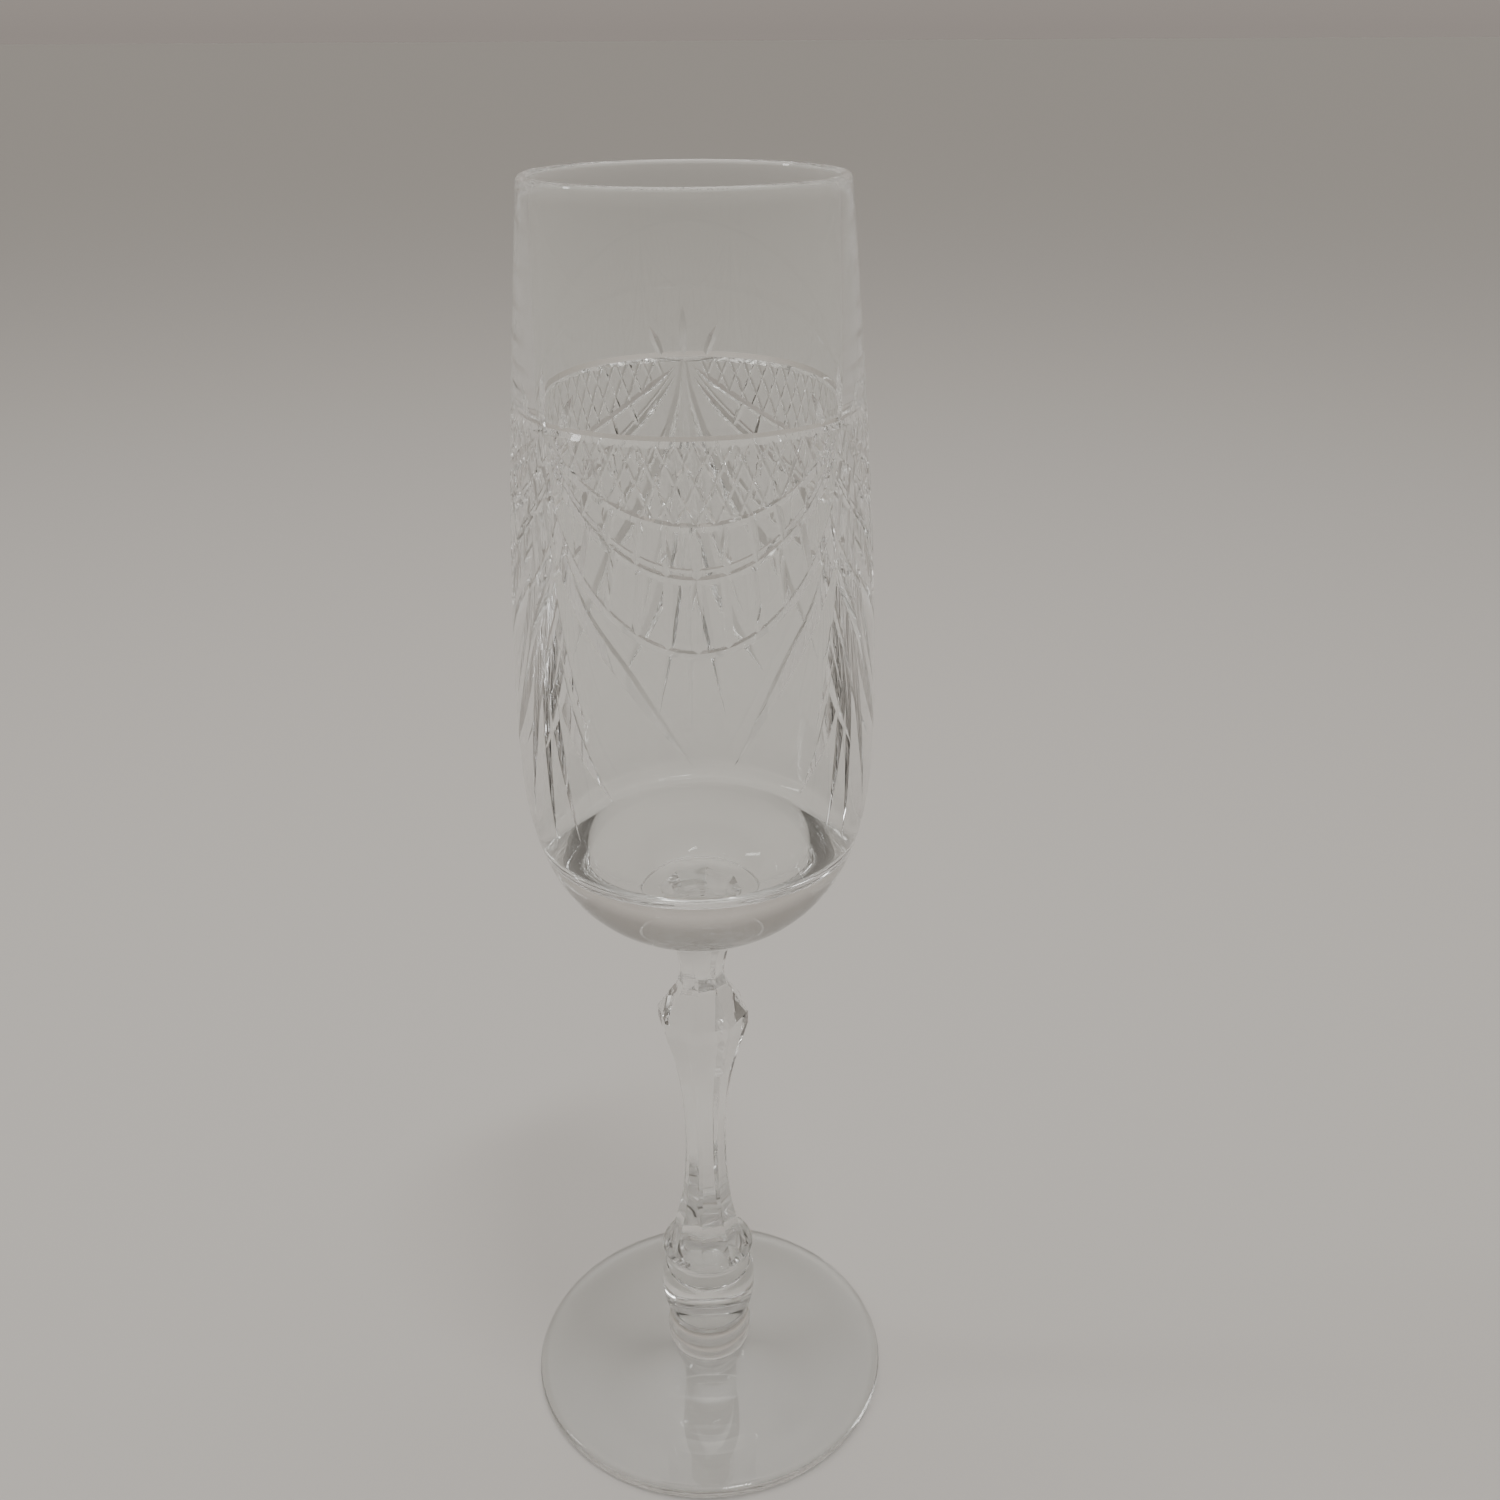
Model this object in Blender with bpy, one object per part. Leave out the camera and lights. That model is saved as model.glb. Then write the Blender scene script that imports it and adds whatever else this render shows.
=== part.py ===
"""A cut-crystal champagne flute.

The glass is a stack of six fused pieces on one upright axis: foot, hub, knop, collar,
faceted stem and bowl. The origin is the centre of the foot's underside, +Z is up, and
every length is in metres.
"""

import math

import bmesh
import bpy

# Driving dimensions.
HEIGHT = 0.2200
JOINT_GAP = 0.0003

# Bowl: outer radii at the rim and belly, wall at the rim, and the heights of its stations.
# A short round button under its base meets the stem.
RIM_RADIUS = 0.0228
RIM_WALL = 0.0015
BELLY_RADIUS = 0.0281
BELLY_Z = 0.1430
BOWL_BASE_Z = 0.1014
BOWL_BASE_RADIUS = 0.0092
BUTTON_Z = 0.1006
BASE_DEPTH = 0.0430
SHOULDER_POWER = 1.5
BASE_POWER = 3.3
CAVITY_RADIUS = 0.0244
CAVITY_CORNER_Z = 0.1210
CAVITY_CORNER_RADIUS = 0.0030
MITRE_RING_Z = 0.1890
MITRE_RING_WIDTH = 0.0016
MITRE_RING_DEPTH = 0.0006

# Stem: an eight-sided baluster. Each station is a height and a corner radius.
STEM_SIDES = 8
STEM_TURN = math.radians(-100.0)
STEM_STATIONS = (
    (0.0297, 0.0083),
    (0.0318, 0.0073),
    (0.0345, 0.0061),
    (0.0380, 0.0051),
    (0.0420, 0.0044),
    (0.0500, 0.0038),
    (0.0590, 0.0039),
    (0.0660, 0.0045),
    (0.0715, 0.0055),
    (0.0805, 0.0080),
    (0.0828, 0.0080),
    (0.0868, 0.0053),
    (0.0885, 0.0043),
    (0.0910, 0.0039),
    (0.0945, 0.0044),
    (0.0975, 0.0053),
    (BUTTON_Z - JOINT_GAP, 0.0066),
)

# Collar, knop and hub: the round pieces between the stem and the foot.
COLLAR_TOP_Z = STEM_STATIONS[0][0] - JOINT_GAP
COLLAR_RADIUS = 0.0085
COLLAR_NECK_RADIUS = 0.0078
COLLAR_BASE_Z = 0.0250
COLLAR_EDGE = 0.0002
KNOP_TOP_Z = COLLAR_BASE_Z - JOINT_GAP
KNOP_TOP_RADIUS = 0.0079
KNOP_RADIUS = 0.0088
KNOP_BELLY_Z = 0.0200
KNOP_BASE_Z = 0.0130
KNOP_BASE_RADIUS = 0.0061
HUB_TOP_Z = KNOP_BASE_Z - JOINT_GAP
HUB_RADIUS = 0.0080
HUB_BELLY_Z = 0.0093
HUB_BASE_RADIUS = 0.0065

# Foot: a thin disc that rises towards the hub.
FOOT_RADIUS = 0.0334
FOOT_EDGE = 0.0019
FOOT_TOP_Z = 0.0049
FOOT_TOP_RADIUS = 0.0068
FOOT_SWEEP_POWER = 2.2
HUB_BASE_Z = FOOT_TOP_Z + JOINT_GAP

# How finely round shapes are divided.
BOWL_SIDES = 64
JOINT_SIDES = 36
FOOT_SIDES = 72
RIM_STEPS = 4
WALL_STEPS = 8
BASE_STEPS = 10
CORNER_STEPS = 6
LIP_STEPS = 4
BULGE_STEPS = 5
SWEEP_STEPS = 6

# Lead crystal, nearly colourless and polished.
CRYSTAL_IOR = 1.55
CRYSTAL_ROUGHNESS = 0.02
CRYSTAL_COLOURS = {
    "bowl": (0.93, 0.94, 0.93),
    "stem": (0.93, 0.94, 0.93),
    "collar": (0.92, 0.94, 0.93),
    "knop": (0.92, 0.94, 0.93),
    "hub": (0.92, 0.93, 0.92),
    "foot": (0.91, 0.93, 0.92),
}


def steps(count, first=0):
    """Fractions from first/count up to 1."""
    return [i / count for i in range(first, count + 1)]


def arc(centre, radii, start, end, count, first=0):
    """Points on an elliptical arc in the (radius, height) plane, angles in degrees."""
    points = []
    for t in steps(count, first):
        angle = math.radians(start + (end - start) * t)
        points.append((centre[0] + radii[0] * math.cos(angle), centre[1] + radii[1] * math.sin(angle)))
    return points


def wall_radius(z):
    """Outer radius of the bowl: it draws in towards the rim, and rounds off to the base."""
    if z >= BELLY_Z:
        rise = (z - BELLY_Z) / (HEIGHT - BELLY_Z)
        return BELLY_RADIUS - (BELLY_RADIUS - RIM_RADIUS) * rise**SHOULDER_POWER
    drop = (BELLY_Z - z) / BASE_DEPTH
    return BELLY_RADIUS * math.sqrt(1.0 - drop**BASE_POWER)


def mitre_ring():
    """The V groove that runs round the bowl above the cut panels, as radii and heights."""
    half = MITRE_RING_WIDTH / 2
    return [
        (wall_radius(MITRE_RING_Z + half), MITRE_RING_Z + half),
        (wall_radius(MITRE_RING_Z) - MITRE_RING_DEPTH, MITRE_RING_Z),
        (wall_radius(MITRE_RING_Z - half), MITRE_RING_Z - half),
    ]


def bowl_outline():
    """Closed outline of the bowl's wall: down the outside, up the inside and over the lip."""
    lip = RIM_WALL / 2
    shoulder_z = HEIGHT - lip
    ring = mitre_ring()
    upper = [shoulder_z + (ring[0][1] - shoulder_z) * t for t in steps(RIM_STEPS)[:-1]]
    lower = [ring[-1][1] + (BELLY_Z - ring[-1][1]) * t for t in steps(WALL_STEPS, 1)]
    base_depth = BELLY_Z - BOWL_BASE_Z
    base = [BELLY_Z - math.sin(math.radians(90) * t) * base_depth for t in steps(BASE_STEPS, 1)]
    outside = [(wall_radius(z), z) for z in upper] + ring
    outside += [(wall_radius(z), z) for z in lower + base[:-1]]
    outside += [(BOWL_BASE_RADIUS, BOWL_BASE_Z), (BOWL_BASE_RADIUS, BUTTON_Z)]
    floor_z = CAVITY_CORNER_Z - CAVITY_CORNER_RADIUS
    corner_centre = (CAVITY_RADIUS - CAVITY_CORNER_RADIUS, CAVITY_CORNER_Z)
    radii = (CAVITY_CORNER_RADIUS, CAVITY_CORNER_RADIUS)
    inside = arc(corner_centre, radii, -90, 0, CORNER_STEPS)
    lip_centre = (outside[0][0] - lip, shoulder_z)
    over_lip = arc(lip_centre, (lip, lip), 180, 0, LIP_STEPS)[:-1]
    return [(0.0, floor_z)] + inside + over_lip + outside + [(0.0, BUTTON_Z)]


def collar_outline():
    """A disc with a crisp upper edge over a slightly waisted band."""
    return [
        (0.0, COLLAR_TOP_Z),
        (COLLAR_RADIUS - COLLAR_EDGE, COLLAR_TOP_Z),
        (COLLAR_RADIUS, COLLAR_TOP_Z - COLLAR_EDGE),
        (COLLAR_RADIUS - COLLAR_EDGE, COLLAR_TOP_Z - 4 * COLLAR_EDGE),
        (COLLAR_NECK_RADIUS, (COLLAR_TOP_Z + COLLAR_BASE_Z) / 2),
        (KNOP_TOP_RADIUS, COLLAR_BASE_Z),
        (0.0, COLLAR_BASE_Z),
    ]


def bulge(top, belly, base):
    """A rounded swelling between two heights, each given as (radius, height)."""
    above = arc((top[0], belly[1]), (belly[0] - top[0], top[1] - belly[1]), 90, 0, BULGE_STEPS)
    below = arc((base[0], belly[1]), (belly[0] - base[0], belly[1] - base[1]), 0, -90, BULGE_STEPS, 1)
    return [(0.0, top[1])] + above + below + [(0.0, base[1])]


def foot_outline():
    """The foot's top sweeps down from the hub to a rounded edge; the underside is flat."""
    half = FOOT_EDGE / 2
    edge_radius = FOOT_RADIUS - half
    sweep = []
    for t in steps(SWEEP_STEPS):
        radius = FOOT_TOP_RADIUS + (edge_radius - FOOT_TOP_RADIUS) * t
        rise = (FOOT_TOP_Z - FOOT_EDGE) * (1.0 - t) ** FOOT_SWEEP_POWER
        sweep.append((radius, FOOT_EDGE + rise))
    edge = arc((edge_radius, half), (half, half), 90, -90, LIP_STEPS, 1)
    return [(0.0, FOOT_TOP_Z)] + sweep + edge + [(0.0, 0.0)]


def crystal(name):
    """The polished glass of one piece."""
    material = bpy.data.materials.new(name + "_crystal")
    material.use_nodes = True
    shader = material.node_tree.nodes["Principled BSDF"]
    shader.inputs["Base Color"].default_value = (*CRYSTAL_COLOURS[name], 1.0)
    shader.inputs["Roughness"].default_value = CRYSTAL_ROUGHNESS
    shader.inputs["Metallic"].default_value = 0.0
    shader.inputs["IOR"].default_value = CRYSTAL_IOR
    shader.inputs["Transmission Weight"].default_value = 1.0
    return material


def finished(name, mesh_data, smooth):
    """Turns the bmesh into a named object with its material."""
    bmesh.ops.recalc_face_normals(mesh_data, faces=mesh_data.faces)
    mesh = bpy.data.meshes.new(name)
    mesh_data.to_mesh(mesh)
    mesh_data.free()
    if smooth:
        mesh.shade_smooth()
        mesh.set_sharp_from_angle(angle=math.radians(30))
    mesh.materials.append(crystal(name))
    piece = bpy.data.objects.new(name, mesh)
    bpy.context.scene.collection.objects.link(piece)
    return piece


def turned(name, outline, sides):
    """A round piece: the outline starts and ends on the axis and is spun once around it."""
    solid = bmesh.new()
    points = [solid.verts.new((radius, 0.0, z)) for radius, z in outline]
    edges = [solid.edges.new(pair) for pair in zip(points, points[1:])]
    turn = {"cent": (0, 0, 0), "axis": (0, 0, 1), "angle": 2 * math.pi, "steps": sides}
    bmesh.ops.spin(solid, geom=points + edges, use_merge=True, **turn)
    bmesh.ops.remove_doubles(solid, verts=solid.verts, dist=1e-6)
    return finished(name, solid, smooth=True)


def faceted(name, stations):
    """An eight-sided piece: one ring of corners at each station, joined by flat facets."""
    solid = bmesh.new()
    rings = []
    for z, radius in stations:
        ring = []
        for i in range(STEM_SIDES):
            angle = STEM_TURN + 2 * math.pi * i / STEM_SIDES
            ring.append(solid.verts.new((radius * math.cos(angle), radius * math.sin(angle), z)))
        rings.append(ring)
    for lower, upper in zip(rings, rings[1:]):
        for i in range(STEM_SIDES):
            j = (i + 1) % STEM_SIDES
            solid.faces.new((lower[i], lower[j], upper[j], upper[i]))
    solid.faces.new(rings[0])
    solid.faces.new(rings[-1])
    return finished(name, solid, smooth=False)


def main():
    for old in list(bpy.data.objects):
        bpy.data.objects.remove(old)
    turned("foot", foot_outline(), FOOT_SIDES)
    hub_base = (HUB_BASE_RADIUS, HUB_BASE_Z)
    turned("hub", bulge((KNOP_BASE_RADIUS, HUB_TOP_Z), (HUB_RADIUS, HUB_BELLY_Z), hub_base), JOINT_SIDES)
    knop_top, knop_base = (KNOP_TOP_RADIUS, KNOP_TOP_Z), (KNOP_BASE_RADIUS, KNOP_BASE_Z)
    turned("knop", bulge(knop_top, (KNOP_RADIUS, KNOP_BELLY_Z), knop_base), JOINT_SIDES)
    turned("collar", collar_outline(), JOINT_SIDES)
    faceted("stem", STEM_STATIONS)
    turned("bowl", bowl_outline(), BOWL_SIDES)


main()
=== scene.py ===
"""Cut-crystal champagne flute, laid out as a Blender add-on.

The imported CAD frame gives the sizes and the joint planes. The operators build the glass
around it: a bowl with wheel-cut swags and tassels, an eight-sided stem, a collar, a knop,
a hub and a foot, and the stage that shows them. Lengths are in metres. On the bowl,
azimuth 0 faces -Y and grows towards +X, in degrees.
"""

import math

import bmesh
import bpy
from bpy.props import FloatProperty, FloatVectorProperty, PointerProperty
from mathutils import Matrix, Vector


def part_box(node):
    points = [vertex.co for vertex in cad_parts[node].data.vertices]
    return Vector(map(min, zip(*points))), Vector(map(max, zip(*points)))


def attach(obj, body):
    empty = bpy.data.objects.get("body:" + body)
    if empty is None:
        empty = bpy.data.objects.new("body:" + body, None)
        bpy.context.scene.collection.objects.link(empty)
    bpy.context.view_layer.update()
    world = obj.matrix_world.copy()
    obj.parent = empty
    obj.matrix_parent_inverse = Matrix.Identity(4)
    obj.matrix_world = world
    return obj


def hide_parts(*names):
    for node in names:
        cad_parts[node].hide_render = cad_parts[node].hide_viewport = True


bl_info = {
    "name": "Cut-Crystal Flute",
    "version": (1, 0, 0),
    "blender": (4, 5, 0),
    "location": "View3D > Sidebar > Flute",
    "description": "Builds a wheel-cut champagne flute around its CAD frame",
    "category": "Add Mesh",
}

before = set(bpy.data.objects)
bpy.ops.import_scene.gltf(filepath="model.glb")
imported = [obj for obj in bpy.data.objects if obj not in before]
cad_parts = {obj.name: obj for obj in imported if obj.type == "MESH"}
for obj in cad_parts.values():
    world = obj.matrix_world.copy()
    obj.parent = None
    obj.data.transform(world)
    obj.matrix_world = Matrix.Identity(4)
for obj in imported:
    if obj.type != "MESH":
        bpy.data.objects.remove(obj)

MM = 0.001
NEAR = 0.01 * MM

# Sizes that the CAD frame already holds.
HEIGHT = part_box("bowl")[1].z
BELLY_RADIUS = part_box("bowl")[1].x
FOOT_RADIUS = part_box("foot")[1].x
BOWL_JOINT_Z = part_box("bowl")[0].z
STEM_JOINT_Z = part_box("collar")[1].z
COLLAR_JOINT_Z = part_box("collar")[0].z
KNOP_JOINT_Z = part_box("knop")[0].z
FOOT_JOINT_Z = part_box("foot")[1].z

# Bowl blank: outer radii and heights, the tapering cavity, and the groove of the ring.
RIM_RADIUS = 22.8 * MM
RIM_WALL = 1.5 * MM
BELLY_Z = 143.0 * MM
BOWL_BASE_Z = 101.4 * MM
BOWL_BASE_RADIUS = 9.2 * MM
BUTTON_EDGE = 0.3 * MM
BASE_DEPTH = 43.0 * MM
SHOULDER_POWER = 1.5
BASE_POWER = 3.3
CAVITY_RADIUS = 24.4 * MM
CAVITY_CORNER_Z = 121.0 * MM
CAVITY_CORNER_RADIUS = 3.0 * MM
RING_Z = 189.2 * MM
RING_WIDTH = 1.6 * MM
RING_DEPTH = 0.6 * MM

# The three tassels hang from hubs on the ring, and a panel of swags lies between each pair.
HUB_AZIMUTHS = (-51.0, 53.0, 182.0)
FULL_TURN = 360.0

# Each swag: height at its middle and rise towards the hubs, in mm. Near the hubs it turns
# up to the ring. Reaches and fades are shares of half a panel.
SWAGS = ((178.0, 10.4), (170.8, 16.0), (160.4, 20.0))
SWAG_END_POWER = 12
SWAG_REACH = 0.95
SWAG_FADE = 0.125
SWAG_COMPANION_LIFT = 1.4 * MM
HATCH_REACH = 0.90
HATCH_SLOPE = math.radians(65.0)
BLOCK_REACH = 0.66
BLOCK_SPLAY = 1.10

# Each tassel blade: its way out from the hub, as a share of half a panel, at four heights
# in mm down to the tip, then the depth of its cut in mm.
BLADES = (
    ((0.06, 181.0), (0.27, 167.0), (0.62, 155.8), (1.00, 142.4), 0.84),
    ((0.03, 176.0), (0.10, 158.0), (0.26, 145.5), (0.50, 136.2), 0.84),
    ((0.01, 174.0), (0.04, 158.0), (0.11, 144.0), (0.23, 127.0), 0.62),
    ((0.04, 178.0), (0.11, 166.0), (0.21, 156.0), (0.36, 146.0), 0.40),
)
MIDDLE_BLADE = ((0.0, 182.0), (0.0, 160.0), (0.0, 140.0), (0.0, 124.0), 0.50)

# A blade's depth at the hub and at the four heights, as a share of its full depth. At the
# tip the wheel has just left the glass.
BLADE_DEPTHS = (0.3, 0.7, 1.0, 0.95, -0.06)

# How far each side of each tassel spreads, left then right.
TASSEL_SPREADS = ((1.0, 1.0), (0.84, 1.0), (1.0, 0.95))

# Crown rays above the ring: way round from the hub to the tip in degrees, height of the tip
# and depth of the cut in mm. The shares are at the ring, halfway up and at the tip.
CROWN_RAYS = ((-14.0, 194.6, 0.50), (0.0, 197.8, 0.50), (14.0, 194.6, 0.50))
CROWN_WAYS = (0.6, 0.8, 1.0)
CROWN_DEPTHS = (0.6, 1.0, -0.2)

# Stem: smooth runs of (height, corner radius) in mm that meet at crisp edges.
STEM_SIDES = 8
STEM_TURN = math.radians(-100.0)
STEM_LOWER_RUN = (
    (STEM_JOINT_Z / MM, 7.50),
    (30.4, 7.30),
    (31.8, 6.90),
    (34.5, 6.00),
    (38.0, 5.10),
    (42.0, 4.40),
    (50.0, 3.80),
    (59.0, 3.90),
    (66.0, 4.50),
    (71.5, 5.50),
    (80.5, 8.00),
)
STEM_BELT_RUN = ((80.5, 8.00), (82.8, 8.00))
STEM_UPPER_RUN = (
    (82.8, 8.00),
    (86.8, 5.30),
    (88.5, 4.30),
    (91.0, 3.90),
    (94.5, 4.40),
    (97.5, 5.30),
    (BOWL_JOINT_Z / MM, 6.60),
)
STEM_TOP_RADIUS = STEM_UPPER_RUN[-1][1] * MM
STEM_BASE_RADIUS = STEM_LOWER_RUN[0][1] * MM

# Round pieces under the stem.
COLLAR_RADIUS = 8.5 * MM
COLLAR_EDGE = 0.25 * MM
COLLAR_EDGE_END = -60
COLLAR_WAIST_RADIUS = 7.7 * MM
COLLAR_BASE_RADIUS = 7.9 * MM
KNOP_RADIUS = 8.8 * MM
KNOP_BELLY_Z = 20.0 * MM
KNOP_BASE_RADIUS = 6.1 * MM
HUB_RADIUS = 8.0 * MM
HUB_BELLY_Z = 9.3 * MM
HUB_BASE_RADIUS = 6.6 * MM
FILLET = 0.5 * MM

# Foot: a sweep down from the hub to the top of a rolled edge.
FOOT_EDGE = 1.9 * MM
FOOT_ROLL_RADIUS = 1.7 * MM
FOOT_ROLL_HEIGHT = 1.2 * MM
FOOT_SWEEP_POWER = 2.2

# The wheel's edge: a three-point circle of radius 1 is 1.5 high and 0.866 to each side.
WHEEL_HEIGHT = 1.3 * MM
TRIANGLE_HEIGHT = 1.5
TRIANGLE_HALF_WIDTH = math.sin(math.radians(60.0))

# How finely shapes are divided. Edges that turn less than the smooth angle are shaded smooth.
ROUND_SIDES = 144
WALL_STEP = 1.0 * MM
SLOPE_STEP = 0.05 * MM
GUIDE_STEP = 0.9 * MM
FEWEST_GUIDE_STEPS = 3
BASE_STEPS = 30
FLOOR_RINGS = 6
BLADE_STEPS = 12
RUN_STEPS = 6
ARC_STEPS = 12
LIP_STEPS = 10
BUTTON_STEPS = 4
COLLAR_EDGE_STEPS = 6
FILLET_STEPS = 5
SWEEP_STEPS = 24
SMOOTH_ANGLE = math.radians(14.0)

# The crystal's surface: the distance between the waves that polishing leaves on each kind of
# piece, and wipe marks, which dull it from the lower level of their noise to the upper one.
BOWL_WAVE = 14.0 * MM
STEM_WAVE = 9.0 * MM
TOOLED_WAVE = 6.0 * MM
FOOT_WAVE = 18.0 * MM
WIPE_MARK = 0.6 * MM
WIPE_LEVELS = (0.5, 0.8)
WIPE_ROUGHNESS = 0.03

# The floor: a wide board just under the foot, with a roller's stipple.
FLOOR_SIZE = 80.0
FLOOR_DROP = 0.2 * MM
STIPPLE = 3.0 * MM
STIPPLE_HEIGHT = 0.02 * MM
PAINT_ROUGHNESS = 0.9

# The camera, in metres and degrees. Its lens and sensor are in mm.
CAMERA_PLACE = (0.0, -0.2177, 0.2373)
CAMERA_PITCH = -25.65
CAMERA_YAW = 2.24
CAMERA_ROLL = -0.28
CAMERA_LENS = 36.0
CAMERA_SENSOR = 36.0
CAMERA_CLIP = 10.0 * MM

# The lamps: where each one hangs, how large it is, and what it points at.
LAMP_TARGET = (0.0, 0.0, 0.1)
OVERHEAD_PLACE = (0.15, -0.25, 1.3)
OVERHEAD_SIZE = (0.22, 0.07)
LEFT_PLACE = (-1.1, 0.1, 0.9)
LEFT_SIZE = (0.10, 0.5)
LEFT_SHARE = 0.5
FLOOR_LAMP_PLACE = (0.0, 0.1, 1.0)
FLOOR_LAMP_SIZE = (0.5, 0.5)
FLOOR_LAMP_TARGET = (0.0, 0.1, 0.0)

# Sky colours by height, from the horizon to overhead, and a paler band low down all round.
# The room behind the camera is dim, and the light grows between two edges to the far side.
SKY_HEIGHTS = ((0.0, "#000000"), (0.2, "#5E5954"), (0.7, "#4A4743"), (0.9, "#FFFBF6"))
HORIZON_HEIGHTS = ((0.0, "#978F89"), (0.15, "#807A74"), (0.35, "#000000"))
ROOM_DIMNESS = 0.02
ROOM_EDGES = (-0.45, 0.75)

# Light is trapped in thick cut glass for many reflections. Cut short, it shows as black.
LIGHT_BOUNCES = 128


def linear(hex_colour):
    """The linear RGBA of an sRGB hex colour."""
    parts = [int(hex_colour[i : i + 2], 16) / 255 for i in (1, 3, 5)]
    return tuple(c / 12.92 if c <= 0.04045 else ((c + 0.055) / 1.055) ** 2.4 for c in parts) + (1.0,)


class FluteCuts(bpy.types.PropertyGroup):
    """How the wheels cut the bowl."""

    fine_angle: FloatProperty(
        name="Fine Wheel Angle",
        description="Angle between the sides of a swag, hatch or block cut",
        default=math.radians(112.0),
        subtype="ANGLE",
    )
    broad_angle: FloatProperty(
        name="Broad Wheel Angle",
        description="Angle between the sides of a tassel blade",
        default=math.radians(114.0),
        subtype="ANGLE",
    )
    swag_depth: FloatProperty(
        name="Swag Depth", description="Depth of the garland cuts", default=0.45 * MM, unit="LENGTH"
    )
    hatch_spacing: FloatProperty(
        name="Hatch Spacing",
        description="Distance along the ring between crossing cuts",
        default=2.6 * MM,
        unit="LENGTH",
    )
    hatch_depth: FloatProperty(
        name="Hatch Depth", description="Depth of the crossing cuts", default=0.22 * MM, unit="LENGTH"
    )
    block_spacing: FloatProperty(
        name="Block Spacing",
        description="Distance between the short cuts that split a band into blocks",
        default=4.0 * MM,
        unit="LENGTH",
    )
    block_depth: FloatProperty(
        name="Block Depth", description="Depth of the short cuts", default=0.46 * MM, unit="LENGTH"
    )


class FluteCrystal(bpy.types.PropertyGroup):
    """The look of the glass."""

    tint: FloatVectorProperty(
        name="Tint",
        description="Colour that the glass gives to light",
        default=linear("#FDFEFD"),
        size=4,
        subtype="COLOR",
    )
    ior: FloatProperty(name="Refractive Index", description="How strongly it bends light", default=1.545)
    ripple: FloatProperty(
        name="Ripple",
        description="Height of the slow waves that fire polishing leaves",
        default=0.03 * MM,
        unit="LENGTH",
    )


class FluteStage(bpy.types.PropertyGroup):
    """The floor and the lights."""

    floor_colour: FloatVectorProperty(
        name="Floor",
        description="Colour of the floor",
        default=linear("#C5C1BC"),
        size=4,
        subtype="COLOR",
    )
    sky_strength: FloatProperty(name="Sky", description="Strength of the even light", default=3.2)
    lamp_power: FloatProperty(
        name="Lamp Power",
        description="Power of the overhead softbox, which makes the glints",
        default=3.0,
        unit="POWER",
    )
    floor_power: FloatProperty(
        name="Floor Power",
        description="Power of the lamp that lights only the floor",
        default=3.6,
        unit="POWER",
    )


def add(tree, kind, settings=None, inputs=None):
    """Adds a node. An input takes a plain value, or the output socket that feeds it."""
    made = tree.nodes.new(kind)
    for name, value in (settings or {}).items():
        setattr(made, name, value)
    for name, value in (inputs or {}).items():
        if isinstance(value, bpy.types.NodeSocket):
            tree.links.new(value, made.inputs[name])
        else:
            made.inputs[name].default_value = value
    return made


def surface_tree(name):
    """A new material with only an output node, as (material, tree, output node)."""
    material = bpy.data.materials.new(name)
    material.use_nodes = True
    tree = material.node_tree
    tree.nodes.clear()
    return material, tree, add(tree, "ShaderNodeOutputMaterial")


def crystal(name, wave):
    """Fire-polished lead crystal, which is clear, bends light strongly and has faint slow waves.

    wave is the distance in metres between the waves. Fine wipe marks change the polish a
    little.
    """
    look = bpy.context.scene.flute_crystal
    material, tree, output = surface_tree(name)
    place = add(tree, "ShaderNodeTexCoord").outputs["Object"]
    noise = "ShaderNodeTexNoise"
    waves = add(tree, noise, None, {"Vector": place, "Scale": 1 / wave, "Detail": 1.0})
    marks = add(tree, noise, None, {"Vector": place, "Scale": 1 / WIPE_MARK, "Detail": 2.0})
    bump = add(
        tree,
        "ShaderNodeBump",
        None,
        {"Height": waves.outputs["Fac"], "Distance": look.ripple, "Strength": 1.0},
    )
    polish = add(
        tree,
        "ShaderNodeMapRange",
        None,
        {
            "Value": marks.outputs["Fac"],
            "From Min": WIPE_LEVELS[0],
            "From Max": WIPE_LEVELS[1],
            "To Min": 0.0,
            "To Max": WIPE_ROUGHNESS,
        },
    )
    glass = add(
        tree,
        "ShaderNodeBsdfPrincipled",
        None,
        {
            "Base Color": look.tint,
            "IOR": look.ior,
            "Transmission Weight": 1.0,
            "Roughness": polish.outputs["Result"],
            "Normal": bump.outputs["Normal"],
        },
    )
    tree.links.new(glass.outputs["BSDF"], output.inputs["Surface"])
    return material


def weld():
    """The face where two gathers of hot glass were pressed together: light passes unbent."""
    material, tree, output = surface_tree("fused_glass_weld")
    clear = add(tree, "ShaderNodeBsdfTransparent", None, {"Color": (1.0, 1.0, 1.0, 1.0)})
    tree.links.new(clear.outputs["BSDF"], output.inputs["Surface"])
    return material


def shared_weld():
    """The one weld material, made on first use."""
    return bpy.data.materials.get("fused_glass_weld") or weld()


def floor_paint():
    """Matt painted board, which spreads light evenly and has a roller's faint stipple."""
    look = bpy.context.scene.flute_stage
    material, tree, output = surface_tree("matt_painted_board")
    place = add(tree, "ShaderNodeTexCoord").outputs["Object"]
    stipple = add(tree, "ShaderNodeTexNoise", None, {"Vector": place, "Scale": 1 / STIPPLE})
    bump = add(
        tree,
        "ShaderNodeBump",
        None,
        {"Height": stipple.outputs["Fac"], "Distance": STIPPLE_HEIGHT},
    )
    paint = add(
        tree,
        "ShaderNodeBsdfPrincipled",
        None,
        {
            "Base Color": look.floor_colour,
            "Roughness": PAINT_ROUGHNESS,
            "Normal": bump.outputs["Normal"],
        },
    )
    tree.links.new(paint.outputs["BSDF"], output.inputs["Surface"])
    return material


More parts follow.
